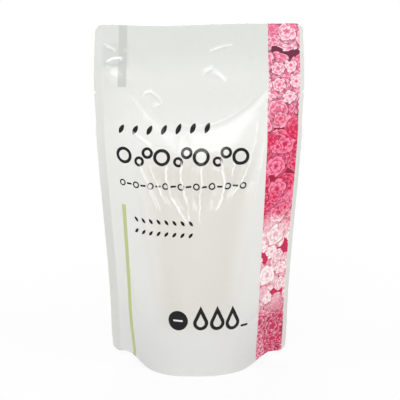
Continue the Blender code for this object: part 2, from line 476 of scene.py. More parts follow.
@dataclass(frozen=True)
class Swell:
    """A soft dome or hollow of a film, in millimetres."""

    centre: Pair
    reach: Pair
    rise_mm: float
    turn_deg: float = 0.0

    def push(self, flat_mm: Array, height_mm: Array) -> Array:
        """Finds how far the swell pushes the film out.

        Args:
            flat_mm: Flat distances.
            height_mm: Heights.

        Returns:
            The push at each place, in millimetres.
        """
        cosine, sine = math.cos(math.radians(self.turn_deg)), math.sin(math.radians(self.turn_deg))
        x, z = flat_mm - self.centre[0], height_mm - self.centre[1]
        along = (x * cosine + z * sine) / self.reach[0]
        aside = (z * cosine - x * sine) / self.reach[1]
        return self.rise_mm * np.exp(-(along**2) - aside**2)


@dataclass(frozen=True)
class FilmCreases:
    """The folds, dents and embossed forms of one film. No fold is straight: all waver by a few waves.

    Each wave is its reach in millimetres, its turn for each millimetre of height and its start.
    """

    folds: tuple[Crease, ...] = ()
    swells: tuple[Swell, ...] = ()
    waver: tuple[tuple[float, float, float], ...] = ((0.30, 0.50, 0.0), (0.16, 1.30, 1.0))

    def push(self, flat_mm: Array, height_mm: Array) -> Array:
        """All the film's folds and swells together, in millimetres outwards."""
        flat_mm = self.wavered(flat_mm, height_mm)
        return sum(form.push(flat_mm, height_mm) for form in (*self.folds, *self.swells))

    def painted_glint(self, flat_mm: Array, height_mm: Array) -> Array:
        """How much white glint the folds paint on the film at each place, from 0 to 1."""
        flat_mm = self.wavered(flat_mm, height_mm)
        return np.max([fold.painted_glint(flat_mm, height_mm) for fold in self.folds if fold.glint_strength], axis=0)

    def wavered(self, flat_mm: Array, height_mm: Array) -> Array:
        """Flat distances as the wavering folds meet them."""
        return flat_mm + sum(reach * np.sin(turn * height_mm + start) for reach, turn, start in self.waver)


@dataclass(frozen=True)
class FrontCreases(FilmCreases):
    """Every fold, dent and embossed form of the front film, read off the pack."""

    folds: tuple[Crease, ...] = (
        # Each fold's fourth number is how much white glint is painted along its crest.
        # Folds that run up to the shoulder
        Crease(((-37, 137), (-31, 122), (-24.5, 106)), 0.45, 0.9, 0.70),
        Crease(((-33.8, 130), (-28, 118), (-22, 105)), 0.40, 0.8, 0.60),
        Crease(((-30.5, 136), (-25, 123), (-18.7, 110.5)), 0.55, 0.9, 0.90),
        Crease(((-19.5, 136), (-19, 125.5), (-15.5, 114.5), (-4.7, 98.6)), 0.85, 1.1, 1.00, 0.6),
        Crease(((-10, 137.5), (-10, 125.5), (-6, 112.5), (-3.8, 100)), 0.80, 1, 0.95, 0.5),
        Crease(((2.5, 135), (3, 125.5), (1.9, 112), (2.2, 98.5)), 0.70, 1, 0.90),
        Crease(((14, 139), (17, 126), (16, 114.5), (11, 106)), 0.85, 1.1, 1.00, 0.6),
        Crease(((22.5, 136), (21.5, 127)), 0.60, 0.9, 0.75),
        Crease(((36.5, 163), (36.5, 153.5), (34, 142.5), (30, 128.5), (20.3, 112.3)), 0.60, 1.1, 0.65),
        Crease(((-41.5, 155.5), (-30, 146.5), (-26, 142.5)), 0.50, 0.9, 0.80),
        # Hollows between them
        Crease(((-27, 140), (-22, 124), (-14, 108)), -0.9, 2.6),
        Crease(((-14.5, 143), (-14.5, 124), (-9.5, 106)), -1.1, 2.4),
        Crease(((-3.5, 143), (-3.5, 124), (-1, 106)), -1, 2.6),
        Crease(((9, 143), (10, 124), (7, 106)), -1.1, 2.8),
        Crease(((19.5, 143), (20.5, 124), (16, 108)), -0.8, 2.2),
        Crease(((29, 147), (26.5, 130), (19, 114)), -1, 3),
        Crease(((42, 160), (39, 140), (27, 112)), -0.8, 2.8),
        # Sides and foot
        Crease(((44.3, 184), (43.2, 166), (40, 140), (36.5, 110)), 0.70, 1.8, 0.30),
        Crease(((-40, 150), (-33, 100), (-24, 40)), 1.2, 6),
        Crease(((44, 156), (35, 100), (24, 40)), 1.2, 6),
        Crease(((48, 60), (46.5, 45), (42.5, 36), (34, 29.5)), -0.75, 1.5),
        Crease(((-47, 58), (-46, 42), (-41.5, 31)), -0.75, 1.6),
        Crease(((46, 60), (44, 45), (40, 37)), 0.45, 1.6),
        # Flat head
        Crease(((-35.5, 175.5), (-33, 178.5), (-29, 179.5), (-24.5, 175.5), (-22.5, 171.5)), 0.6, 0.9, 0.85),
        Crease(((-22.5, 173.5), (-24.5, 171), (-28.5, 170)), 0.50, 0.9, 0.80),
        Crease(((2, 188.5), (4.5, 191.8), (8.5, 193.2), (12.5, 191.2)), 0.85, 1.4, 0.75, 0.7),
        Crease(((8, 191.8), (12.5, 189.6), (16.8, 184.8)), 0.60, 1.4, 0.95, 1.2),
        Crease(((6, 204.2), (14, 206.6), (21.5, 208.2)), 0.50, 0.8, 0.85),
        Crease(((-43.5, 211), (-32, 202), (-20, 191)), 0.75, 5),
        Crease(((34, 209), (36.5, 194), (37, 176)), 0.70, 4.5),
        # Embossed spout
        Crease(((-56.5, 197.2), (-53, 198), (-49, 199)), 0.62, 2.2, 0, profile=Profile.PLATEAU),
        Crease(((-57.6, 197.8), (-54, 200.2), (-48.8, 200.8), (-47.3, 198.4)), 0.10, 0.7, 0.95),
        Crease(((-57.6, 195.4), (-54.2, 194.8)), 0.10, 0.7, 0.90),
        Crease(((-60, 209.4), (-57.2, 208.8), (-55.6, 206)), 0.62, 0.9, 0.80),
        Crease(((-56.4, 208.2), (-53.5, 206.2), (-51, 204.3)), 0.55, 0.8, 0.85),
        Crease(((-46.5, 206.8), (-45.2, 204.4)), 0.26, 0.9, 0.45),
    )
    swells: tuple[Swell, ...] = (
        Swell((-29, 174.5), (4.5, 3.4), -0.55, -20),
        Swell((8.5, 186.5), (6, 3.6), -0.60, -15),
        Swell((7, 179), (1.2, 1.1), 0.40),
        Swell((-50, 187), (9.5, 6), 1.7),
        Swell((-3, 205), (16, 7), -0.35, 20),
        Swell((20, 172), (16, 9), -0.45, 25),
    )


@dataclass(frozen=True)
class BackCreases(FilmCreases):
    """The plain back film's soft folds, in millimetres; its flat distances run the same way in world x."""

    folds: tuple[Crease, ...] = (
        # Each fold's fourth number is how much white glint is painted along its crest; the plain films do
        # not show it.
        Crease(((-38, 152), (-24, 108)), -0.9, 2.6),
        Crease(((-31, 134), (-26, 120), (-19, 108)), 0.7, 1.6, 0.55, 0.7),
        Crease(((-18, 140), (-15, 122), (-7, 101)), 0.9, 1.8, 0.75, 0.7),
        Crease(((-9, 150), (-5, 108)), -0.9, 2.6),
        Crease(((3.5, 138), (4.5, 120), (2.5, 98)), 0.9, 1.8, 0.65, 0.7),
        Crease(((11, 136), (10, 124), (6.5, 110)), 0.7, 1.6, 0.60, 0.7),
        Crease(((16, 150), (10, 110)), -0.9, 2.6),
        Crease(((27, 141), (24.5, 124), (16, 109)), 0.8, 1.7, 0.70, 0.7),
        Crease(((41, 160), (27, 112)), -0.9, 2.8),
        Crease(((-42, 152), (-26, 40)), 1.2, 6),
        Crease(((42, 152), (26, 40)), 1.2, 6),
        Crease(((47, 58), (35, 30)), -0.9, 2.6),
        Crease(((-47, 58), (-35, 30)), -0.9, 2.6),
        Crease(((-20, 196), (-9, 190), (-3, 181)), 0.6, 1.6, 0.60, 0.8),
    )
    swells: tuple[Swell, ...] = (
        Swell((24, 186), (14, 8), -0.6, 30),
        Swell((-20, 190), (12, 9), 0.6, -20),
        Swell((50, 187), (9.5, 6), 1.2),
    )


class Sheet(Enum):
    """A part of the pack's surface: its material, its field's place on the map and its scale per metre."""

    FRONT = (0, (0.292, 0.012), 4.35)
    BACK = (1, (0.775, 0.405), 2.60)
    BASE = (2, (0.775, 0.012), 2.60)
    LEFT_RIM = (1, (0.956, 0.012), 4.35)
    RIGHT_RIM = (1, (0.970, 0.012), 4.35)
    TOP_RIM = (1, (0.292, 0.988), 4.35)
    FOOT_RIM = (1, (0.292, 0.001), 4.35)
    FRONT_HEM = (2, (0.775, 0.380), 2.60)
    BACK_HEM = (2, (0.775, 0.390), 2.60)
    LEFT_POCKET = (2, (0.590, 0.012), 2.60)
    RIGHT_POCKET = (2, (0.602, 0.012), 2.60)


@dataclass
class FilmPack:
    """The sealed pack: front and back film, the base gusset between them and their welded edges."""

    form: FilledForm = field(default_factory=FilledForm)
    front_creases: FrontCreases = field(default_factory=FrontCreases)
    back_creases: BackCreases = field(default_factory=BackCreases)
    skirt_thickness: float = 0.0005
    base_seal: float = 0.006
    gusset_flat_length: float = 0.066
    gusset_flat_share: float = 0.62
    gusset_climb: float = 1.6
    skirt_curve: float = 2.4
    column_steps: Pair = (0.00038, 0.0011)
    row_steps: Pair = (0.00072, 0.0013)
    creased_columns: Pair = (-0.040, 0.041)
    creased_rows: Pair = (0.096, 0.212)
    corner_columns: int = 8
    coarse_stride: int = 2
    rim_map_width: float = 0.004
    crisp_edge_angle: float = math.radians(55.0)
    skirt_steps: int = 6
    gusset_steps: int = 16
    print_edges: tuple[float, ...] = ()
    points: list = field(default_factory=list)
    places: list = field(default_factory=list)
    faces: list = field(default_factory=list)

    @property
    def foot_seal_line(self) -> float:
        """Flat distance of the side seal's inner line at the foot."""
        return self.form.half_width - self.form.foot_seal

    def build(self) -> bpy.types.Object:
        """Makes the closed mesh with its film places and its map.

        Returns:
            The pack's object, linked to the scene.
        """
        flats, heights = self.grid_lines()
        columns = self.coarse(len(flats))
        rows = self.coarse(len(heights))
        front = self.film(flats, heights, -1)
        back = self.film(flats[columns], heights[rows], 1)
        self.cover(front, Sheet.FRONT, False)
        self.cover(back, Sheet.BACK, True)
        self.rim(front[:, 0], back[:, 0], rows, Sheet.LEFT_RIM, False)
        self.rim(front[:, -1], back[:, -1], rows, Sheet.RIGHT_RIM, True)
        self.rim(front[-1], back[-1], columns, Sheet.TOP_RIM, False)
        self.underside(flats[columns], front[0], back[0], columns)
        return self.finished_mesh()

    def grid_lines(self) -> tuple[Array, Array]:
        """Places the lines of the front film's mesh.

        Returns:
            The flat distances of its columns and the heights of its rows.
        """
        form = self.form
        turn = np.linspace(0.0, np.pi / 2, self.corner_columns + 1)
        corner = form.half_width - form.top_corner_radius * (1.0 - np.sin(turn))
        edges = [*-corner, *corner, -form.seal_line, form.seal_line, *self.print_edges]
        flats = self.graded_lines(edges, self.creased_columns, self.column_steps)
        half_notch = form.notch_height / 2
        marks = [form.notch_line - half_notch, form.notch_line, form.notch_line + half_notch]
        edges = [0.0, *marks, form.top_seal_line, form.pack_height]
        return flats, self.graded_lines(edges, self.creased_rows, self.row_steps)

    def graded_lines(self, edges: list[float], creased: Pair, steps: Pair) -> Array:
        """Grid lines at the given edges, finer where the film is creased.

        Args:
            edges: Lines that the grid must have.
            creased: Where the creased part starts and ends.
            steps: The widest gap in the creased part and beside it.

        Returns:
            The lines in rising order.
        """
        low, high = creased
        parts = (
            even_lines([edge for edge in edges if edge < low] + [low], steps[1]),
            even_lines([low, *(edge for edge in edges if low < edge < high), high], steps[0]),
            even_lines([high] + [edge for edge in edges if edge > high], steps[1]),
        )
        return np.unique(np.concatenate(parts))

    def coarse(self, count: int) -> Array:
        """Every few of the fine lines, with the first and the last."""
        return np.unique([*range(0, count, self.coarse_stride), count - 1])

    def film(self, flats: Array, heights: Array, side: int) -> Array:
        """Adds the points of one film.

        Args:
            flats: Its columns.
            heights: Its rows.
            side: -1 for the front film and 1 for the back film.

        Returns:
            The points' numbers, a row for each height.
        """
        form = self.form
        creases = self.front_creases if side < 0 else self.back_creases
        flat = np.array([form.notched(flats, height) for height in heights])
        laid = np.array([form.section(height, np.abs(row)) for height, row in zip(heights, flat)])
        height = np.broadcast_to(heights[:, None], flat.shape)
        clear = smooth((form.seal_line - np.abs(flat)) / form.side_seal)
        clear = clear * smooth((form.top_seal_line + form.side_seal / 2 - height) / form.side_seal)
        away = laid[:, 1] + clear * MM * creases.push(flat / MM, height / MM)
        points = form.placed(flat, np.sign(flat) * laid[:, 0], side * away, height)
        # Painted highlights: the crease glints' share at each point.
        white = creases.painted_glint(flat / MM, height / MM)
        return self.add_points(points, np.stack([flat, height, white], axis=-1))

    def add_points(self, points: Array, places: Array) -> Array:
        """Adds points with their places on the film.

        Args:
            points: World places, in metres.
            places: Flat distance, height and painted crease glint of each.

        Returns:
            The points' numbers, in the shape of the grid.
        """
        first = sum(len(chunk) for chunk in self.points)
        self.points.append(points.reshape(-1, 3))
        self.places.append(places.reshape(-1, 3))
        return np.arange(first, first + points[..., 0].size).reshape(points.shape[:-1])

    def cover(self, grid: Array, sheet: Sheet, turned: bool) -> None:
        """Adds the faces of a grid of points.

        Args:
            grid: Point numbers.
            sheet: Where the faces belong.
            turned: True where the faces would otherwise face inwards.
        """
        corners = np.stack([grid[:-1, :-1], grid[:-1, 1:], grid[1:, 1:], grid[1:, :-1]], axis=-1)
        for face in corners.reshape(-1, 4):
            self.faces.append((sheet, face[::-1].tolist() if turned else face.tolist()))

    def rim(self, fine: Array, plain: Array, lines: Array, sheet: Sheet, turned: bool) -> None:
        """Joins a fine edge to a coarse one that meets it at every few points.

        Args:
            fine: Point numbers along the fine edge.
            plain: Point numbers along the coarse edge.
            lines: Which of the fine points the coarse points stand beside.
            sheet: Where the faces belong.
            turned: True where the faces would otherwise face inwards.
        """
        for k in range(len(lines) - 1):
            loop = [*fine[lines[k] : lines[k + 1] + 1].tolist(), int(plain[k + 1]), int(plain[k])]
            self.faces.append((sheet, loop[::-1] if turned else loop))

    def gusset_line(self, flat: float) -> Pair:
        """Finds how high the gusset is welded and how high it hangs.

        Args:
            flat: Flat distance of the column.

        Returns:
            Heights of the base seal's line, and of the gusset film on the middle plane.
        """
        across = abs(flat) / self.foot_seal_line
        height = self.form.gusset_height
        seal = self.base_seal + (height - self.base_seal) * across**self.skirt_curve
        flat_end = self.gusset_flat_length / 2 / self.foot_seal_line
        climb = np.clip((across - flat_end) / (1.0 - flat_end), 0.0, 1.0)
        return seal, height * climb**self.gusset_climb

    def underside_path(self, flat: float) -> Array:
        """Adds the points under the base at one column: up the front skirt, over the gusset, down the back.

        Args:
            flat: Flat distance of the column.

        Returns:
            The points' numbers.
        """
        form = self.form
        seal, middle = self.gusset_line(flat)
        front = []
        for height in np.linspace(0.0, seal, self.skirt_steps + 1):
            x, depth = form.section(height, np.array([abs(flat)]))
            front.append((np.sign(flat) * x[0], self.skirt_thickness - depth[0], height))
        x, inside, seal_height = front[-1]
        over = []
        for share in np.linspace(-1.0, 1.0, self.gusset_steps + 1)[1:-1]:
            rise = np.clip((abs(share) - self.gusset_flat_share) / (1.0 - self.gusset_flat_share), 0.0, 1.0)
            over.append((x, -share * inside, middle + (seal_height - middle) * rise**2))
        path = np.array(front + over + [(x, -y, z) for x, y, z in reversed(front)])
        flats = np.full(len(path), flat)
        points = form.placed(flats, *path.T)
        run = np.append(0.0, np.cumsum(np.linalg.norm(np.diff(points, axis=0), axis=1)))
        return self.add_points(points, np.stack([flats, run, 0 * run], axis=-1))

    def underside(self, flats: Array, front: Array, back: Array, columns: Array) -> None:
        """Closes the foot: plain welded ends, and an open skirt round the gusset between them.

        Args:
            flats: Flat distances of the coarse columns.
            front: Point numbers along the front film's foot.
            back: Point numbers along the back film's foot.
            columns: Which of the front's points the coarse columns are.
        """
        inside = np.flatnonzero(np.abs(flats) < self.foot_seal_line - self.column_steps[1])
        paths = np.array([self.underside_path(flat) for flat in flats[inside]])
        first, final = inside[0], inside[-1]
        for ends in (slice(0, first + 1), slice(final, None)):
            self.rim(front, back[ends], columns[ends], Sheet.FOOT_RIM, True)
        self.rim(front, paths[:, 0], columns[inside], Sheet.FRONT_HEM, True)
        self.cover(np.stack([back[inside], paths[:, -1]]), Sheet.BACK_HEM, False)
        self.cover(paths, Sheet.BASE, False)
        left = [front[columns[first]], *paths[0], back[first]]
        right = [front[columns[final]], *paths[-1], back[final]]
        self.faces.append((Sheet.LEFT_POCKET, [int(number) for number in reversed(left)]))
        self.faces.append((Sheet.RIGHT_POCKET, [int(number) for number in right]))

    def finished_mesh(self) -> bpy.types.Object:
        """Writes the gathered points and faces to a mesh, with smooth films and crisp cut edges.

        Returns:
            The pack's object, linked to the scene.
        """
        points = np.concatenate(self.points)
        places = np.concatenate(self.places)
        mesh = bpy.data.meshes.new("film_pack")
        mesh.from_pydata(points.tolist(), [], [loop for _, loop in self.faces])
        mesh.polygons.foreach_set("use_smooth", [True] * len(self.faces))
        mesh.polygons.foreach_set("material_index", [sheet.value[0] for sheet, _ in self.faces])
        film_place = mesh.attributes.new(PLACE_LAYER, "FLOAT_VECTOR", "POINT")
        film_place.data.foreach_set("vector", (places * (1 / MM, 1 / MM, 0.0)).ravel())
        # Painted highlights: the crease glints' share, kept on each point.
        glint_layer = mesh.attributes.new(GLINT_LAYER, "FLOAT", "POINT")
        glint_layer.data.foreach_set("value", places[:, 2])
        self.lay_map(mesh, points, places)
        mesh.set_sharp_from_angle(angle=self.crisp_edge_angle)
        mesh.update()
        return in_scene("film_pack", mesh)

    def lay_map(self, mesh: bpy.types.Mesh, points: Array, places: Array) -> None:
        """Lays each part of the surface flat in its own field of one map.

        Args:
            mesh: The pack's mesh.
            points: World places of its points.
            places: Their places on the film.
        """
        back_start, base_start = np.cumsum([len(chunk) for chunk in self.points])[:2]
        numbers = np.array([number for _, loop in self.faces for number in loop])
        sheets = np.array([sheet.name for sheet, loop in self.faces for _ in loop])
        corners = np.empty((len(numbers), 2))
        for sheet in Sheet:
            here = sheets == sheet.name
            number = numbers[here]
            _, (u, v), scale = sheet.value
            across, up, _ = scale * places[number].T
            if sheet is Sheet.BACK:
                across = -across
            elif sheet in (Sheet.LEFT_RIM, Sheet.RIGHT_RIM):
                across = self.rim_map_width * (number >= back_start)
            elif sheet in (Sheet.TOP_RIM, Sheet.FOOT_RIM):
                up = self.rim_map_width * (number >= back_start)
            elif sheet in (Sheet.FRONT_HEM, Sheet.BACK_HEM):
                up = self.rim_map_width * (number >= base_start)
            elif sheet in (Sheet.LEFT_POCKET, Sheet.RIGHT_POCKET):
                _, across, up = scale * points[number].T
            corners[here] = np.stack([u + across, v + up], axis=-1)
        layer = mesh.uv_layers.new(name="OFBake")
        layer.data.foreach_set("uv", corners.ravel())

    def dress(self, pack: bpy.types.Object, finishes: list[bpy.types.Material]) -> None:
        """Gives the pack its films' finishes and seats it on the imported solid.

        Args:
            pack: The pack's object.
            finishes: The materials of the front film, the back film and the base gusset.
        """
        for finish in finishes:
            pack.data.materials.append(finish)
        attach(pack, "root")
        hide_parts("pouch")


class Shape(Enum):
    """The outline of a plain printed mark."""

    BAR = "bar"
    RING = "ring"
    DROP = "drop"
    LEAF = "leaf"


@dataclass(frozen=True)
class Mark:
    """A plain mark of ink, or an even row of them, in millimetres on the film.

    The size is a bar's or leaf's half width and half height, a ring's radius twice, or a drop's radius and
    the height of its tip. A stroke of 0 fills the mark.
    """

    shape: Shape
    centre: Pair
    size: Pair
    stroke: float = 0.0
    count: int = 1
    pitch: float = 0.0
    turn_deg: float = 0.0

    def distance(self, graph: FilmGraph) -> Socket:
        """Builds the distance from the mark's outline, - inside it.

        Args:
            graph: The film's graph.

        Returns:
            The distance in millimetres.
        """
        local = graph.vector("SUBTRACT", graph.place, (*self.centre, 0.0))
        if self.count > 1:
            local = self.repeated(graph, local)
        if self.turn_deg:
            inputs = {"Vector": local, "Angle": math.radians(self.turn_deg)}
            local = graph.add("VectorRotate", inputs, rotation_type="Z_AXIS")
        outlines = {Shape.BAR: self.bar, Shape.RING: self.ring, Shape.DROP: self.drop, Shape.LEAF: self.leaf}
        outline = outlines[self.shape](graph, local)
        if self.stroke:
            outline = graph.math("SUBTRACT", graph.math("ABSOLUTE", outline), self.stroke / 2)
        return outline

    def repeated(self, graph: FilmGraph, local: Socket) -> Socket:
        """Folds a row of marks onto its first one.

        Args:
            graph: The film's graph.
            local: The place as seen from the first mark's centre.

        Returns:
            The place as seen from the nearest mark's centre.
        """
        step = graph.math("SNAP", graph.math("ADD", graph.axes(local)[0], self.pitch / 2), self.pitch)
        held = graph.add("Clamp", [step, 0.0, self.pitch * (self.count - 1)])
        return graph.vector("SUBTRACT", local, graph.add("CombineXYZ", [held]))

    def bar(self, graph: FilmGraph, local: Socket) -> Socket:
        """A bar with round ends.

        Args:
            graph: The film's graph.
            local: The place as seen from the mark's centre.

        Returns:
            The distance from its outline.
        """
        corner = min(self.size)
        core = (self.size[0] - corner, self.size[1] - corner, 0.0)
        outside = graph.vector("SUBTRACT", graph.vector("ABSOLUTE", local), core)
        outside = graph.vector("MAXIMUM", outside, (0.0, 0.0, 0.0))
        return graph.math("SUBTRACT", graph.length(outside), corner)

    def ring(self, graph: FilmGraph, local: Socket) -> Socket:
        """A circle."""
        return graph.math("SUBTRACT", graph.length(local), self.size[0])

    def drop(self, graph: FilmGraph, local: Socket) -> Socket:
        """A drop: a circle with two tangents that meet above it.

        Args:
            graph: The film's graph.
            local: The place as seen from the mark's centre.

        Returns:
            The distance from its outline.
        """
        radius, tip = self.size
        lean = math.asin(radius / tip)
        aside, below, _ = graph.axes(graph.vector("SUBTRACT", local, (0.0, tip, 0.0)))
        down = graph.math("MULTIPLY", below, math.sin(lean))
        tangent = graph.math("MULTIPLY_ADD", graph.math("ABSOLUTE", aside), math.cos(lean), down)
        ring = self.ring(graph, local)
        above = graph.math("GREATER_THAN", below, radius * math.sin(lean) - tip)
        return graph.math("MULTIPLY_ADD", above, graph.math("SUBTRACT", tangent, ring), ring)

    def leaf(self, graph: FilmGraph, local: Socket) -> Socket:
        """A leaf with two pointed ends, where two circles overlap.

        Args:
            graph: The film's graph.
            local: The place as seen from the mark's centre.

        Returns:
            The distance from its outline.
        """
        half_width, half_height = self.size
        radius = (half_width**2 + half_height**2) / (2 * half_width)
        moved = graph.vector("ADD", graph.vector("ABSOLUTE", local), (radius - half_width, 0.0, 0.0))
        return graph.math("SUBTRACT", graph.length(moved), radius)


@dataclass(frozen=True)
class PrintLayout:
    """Where the front's print lies on the film, in millimetres. Its marks are plain and say nothing."""

    heading: Mark = Mark(Shape.LEAF, (-48.0, 156.0), (1.5, 3.2), 0.0, 7, 8.9, 24.0)
    bubbles: tuple[Mark, ...] = (
        Mark(Shape.RING, (-46.6, 139.4), (4.3, 4.3), 2.0, 4, 24.4),
        Mark(Shape.RING, (-36.4, 136.6), (2.3, 2.3), 1.7, 3, 24.4),
        Mark(Shape.RING, (-31.2, 142.0), (2.7, 2.7), 1.8, 3, 24.4),
    )
    line: tuple[Mark, ...] = (
        Mark(Shape.RING, (-48.4, 121.6), (1.7, 1.7), 0.9, 9, 9.6),
        Mark(Shape.BAR, (-43.6, 121.6), (1.8, 0.6), 0.0, 8, 9.6),
    )
    small_lines: tuple[Mark, ...] = (
        Mark(Shape.LEAF, (-39.4, 99.3), (0.9, 2.0), 0.0, 8, 5.15, -40.0),
        Mark(Shape.LEAF, (-39.4, 91.9), (0.9, 2.0), 0.0, 8, 5.15, 40.0),
    )
    disc: Mark = Mark(Shape.RING, (-11.0, 37.4), (6.4, 6.4))
    disc_bar: Mark = Mark(Shape.BAR, (-11.0, 37.4), (3.2, 0.55))
    drops: tuple[Mark, ...] = (
        Mark(Shape.DROP, (3.4, 36.2), (3.6, 8.6), 2.2),
        Mark(Shape.DROP, (13.8, 35.6), (3.6, 8.6), 2.2),
        Mark(Shape.DROP, (23.8, 34.4), (3.6, 8.6), 2.2),
    )
    unit: Mark = Mark(Shape.BAR, (32.0, 31.0), (2.6, 0.75))
    stripe: tuple[Pair, Pair] = ((-50.2, -47.2), (-5.0, 107.0))
    grey_strip: tuple[Pair, Pair] = ((-50.0, -44.8), (182.5, 230.0))
    # Not print: the field where shade is painted round the embossed spout.
    spout_shade_field: tuple[Pair, Pair] = ((-60.0, -44.0), (194.5, 210.0))
    blossom_band: tuple[Pair, Pair] = ((42.8, 62.4), (-5.0, 230.0))

    def ink(self) -> list[Mark]:
        """Every mark of black ink."""
        rows = (*self.bubbles, *self.line, *self.small_lines, *self.drops)
        return [self.heading, *rows, self.disc, self.unit]

    def edges(self) -> tuple[float, ...]:
        """Flat distances, in metres, of the print's long straight edges."""
        fields = (self.stripe, self.grey_strip, self.blossom_band)
        return tuple(edge * MM for sides, _ in fields for edge in sides)


@dataclass(frozen=True)
class BlossomLayer:
    """Round blossoms of ringed petals, strewn over the band in a plain made-up pattern.

    spacing_mm is the mean distance between their centres, reach a blossom's radius as a share of it, and
    kept the share of the centres that hold a blossom. The other lengths count in rings of petals.
    """

    spacing_mm: float
    petals: int
    rings: float
    reach: float
    kept: float
    shift: tuple[float, float, float]
    strewn: float = 0.75
    scallop: float = 0.5
    swirl: float = 0.8
    shading: float = 0.6
    shade_reach: float = 1.1
    edge_reach: float = 0.1
    petal_tones: Pair = (0.48, 1.40)
    tone_spread: float = 0.7
    heart: Pair = (0.9, 0.2)
    kept_fade: float = 0.01

    def paint(self, graph: FilmGraph, place: Socket, under: Socket, tones: list[Socket]) -> Socket:
        """Paints the layer over what lies under it.

        Args:
            graph: The film's graph.
            place: The place on the film, strayed a little, in millimetres.
            under: The colour below the blossoms.
            tones: The colours of a petal's edge, of its foot and of the shade between blossoms.

        Returns:
            The colour with the blossoms over it.
        """
        light, deep, gap = tones
        step = 1 / self.spacing_mm
        scaled = graph.vector("MULTIPLY_ADD", place, (step, step, 0.0), self.shift)
        inputs = {"Vector": scaled, "Scale": 1.0, "Randomness": self.strewn}
        cell = graph.add("TexVoronoi", inputs, "Position", voronoi_dimensions="2D").node.outputs
        local = graph.vector("SUBTRACT", scaled, cell["Position"])
        aside, above, _ = graph.axes(local)
        turn, tint, chance = graph.axes(cell["Color"])
        ring = graph.math("MULTIPLY", graph.length(local), self.rings / self.reach)
        turned = graph.math("MULTIPLY_ADD", turn, math.tau, graph.math("ARCTAN2", above, aside))
        turned = graph.math("MULTIPLY_ADD", ring, self.swirl, turned)
        wave = graph.math("COSINE", graph.math("MULTIPLY", turned, self.petals / 2))
        out = graph.math("MULTIPLY_ADD", graph.math("ABSOLUTE", wave), -self.scallop, ring)
        tone = graph.math("FRACT", graph.math("ADD", out, 1.0))
        tone = graph.math("MULTIPLY_ADD", tint, self.tone_spread, tone)
        petal = graph.blend(graph.fade(tone, *self.petal_tones), deep, light)
        petal = graph.blend(graph.fade(ring, *self.heart), petal, deep)
        held = graph.fade(chance, self.kept + self.kept_fade, self.kept)
        edge = self.rings - self.scallop
        shade = graph.math("MULTIPLY", graph.fade(out, edge + self.shade_reach, edge), held)
        under = graph.blend(graph.math("MULTIPLY", shade, self.shading), under, gap)
        cover = graph.math("MULTIPLY", graph.fade(out, edge + self.edge_reach, edge), held)
        return graph.blend(cover, under, petal)


@dataclass(frozen=True)
class BlossomBand:
    """The band's blossoms: pale at the top, deep pink below, then pale over crimson and deep at the foot.

    Each zone is the two heights between which it takes over from the one below, and the colours of a petal's
    edge, of a petal's foot and of the shade between blossoms.
    """

    zones: tuple[tuple[Pair, tuple[str, str, str]], ...] = (
        ((-2.0, -1.0), ("#F6B4C6", "#C0154F", "#8A123C")),
        ((30.0, 46.0), ("#FDF4F2", "#E9A9B9", "#C71F52")),
        ((88.0, 106.0), ("#F58BAD", "#D00B47", "#9A0832")),
        ((150.0, 172.0), ("#FDD9E1", "#DE6389", "#6E2442")),
    )
    layers: tuple[BlossomLayer, ...] = (
        BlossomLayer(13.0, 7, 3.4, 0.66, 1.0, (0.3, 0.1, 0.0)),
        BlossomLayer(14.5, 5, 2.6, 0.46, 0.6, (4.7, 2.6, 0.0)),
        BlossomLayer(10.0, 6, 2.4, 0.42, 0.4, (1.6, 7.2, 0.0)),
    )
    drift_mm: float = 26.0
    drift_scale: float = 0.06
    crinkle_mm: float = 1.5
    crinkle_scale: float = 0.22

    def colour(self, graph: FilmGraph) -> Socket:
        """Builds the band's colour.

        Args:
            graph: The film's graph.

        Returns:
            The colour at each place.
        """
        drift = graph.noise(graph.place, self.drift_scale, Detail=1.0)
        strayed = graph.math("MULTIPLY_ADD", drift, self.drift_mm, graph.height)
        tones = [PLAIN_WHITE] * 3
        for (low, high), codes in self.zones:
            share = graph.fade(strayed, low + self.drift_mm / 2, high + self.drift_mm / 2)
            tones = [graph.blend(share, tone, srgb(code)) for tone, code in zip(tones, codes)]
        crinkle = graph.vector("SUBTRACT", graph.noise(graph.place, self.crinkle_scale, "Color"), NOISE_MEAN)
        reach = (2 * self.crinkle_mm, 2 * self.crinkle_mm, 0.0)
        place = graph.vector("MULTIPLY_ADD", crinkle, reach, graph.place)
        colour = tones[2]
        for layer in self.layers:
            colour = layer.paint(graph, place, colour, tones)
        return colour


@dataclass(frozen=True)
class FilmSkin:
    """The outer skin of every film: cast polyester, glossy and slightly wavy, with ribbed welds.

    The sealing bars' ribs are 0.8 mm apart on the real weld, drawn at 1.6 mm so that they show.
    """

    roughness: float = 0.13
    unevenness: Pair = (-0.02, 0.04)
    ior: float = 1.36
    weld_mm: Pair = (60.0, 60.4)
    rib_pitch_mm: float = 1.6
    rib_share: float = 0.02
    wave_scale: float = 0.16
    wave_roughness: float = 0.45
    grain_scale: float = 1.4
    grain_levels: Pair = (0.3, 0.7)
    grain_share: float = 0.02
    depth: float = 0.0008
    strength: float = 0.35

    def finish(self, graph: FilmGraph) -> None:
        """Gives the film its gloss, the waviness of its skin and the ribs of its welds.

        Args:
            graph: The film's graph.
        """
        wavy = graph.noise(graph.place, self.wave_scale, Roughness=self.wave_roughness)
        grain = graph.noise(graph.place, self.grain_scale)
        low, high = (self.roughness + step for step in self.unevenness)
        ribs = graph.math("SINE", graph.math("MULTIPLY", graph.height, math.tau / self.rib_pitch_mm))
        ribs = graph.math("MULTIPLY", ribs, graph.fade(graph.across, *self.weld_mm))
        height = graph.math("MULTIPLY_ADD", ribs, self.rib_share, wavy)
        height = graph.math("MULTIPLY_ADD", grain, self.grain_share, height)
        bump = {"Strength": self.strength, "Distance": self.depth, "Height": height}
        inputs = graph.shader.inputs
        graph.feed(inputs["Roughness"], graph.add("MapRange", [grain, *self.grain_levels, low, high]))
        graph.feed(inputs["Normal"], graph.add("Bump", bump, "Normal"))
        graph.feed(inputs["IOR"], self.ior)


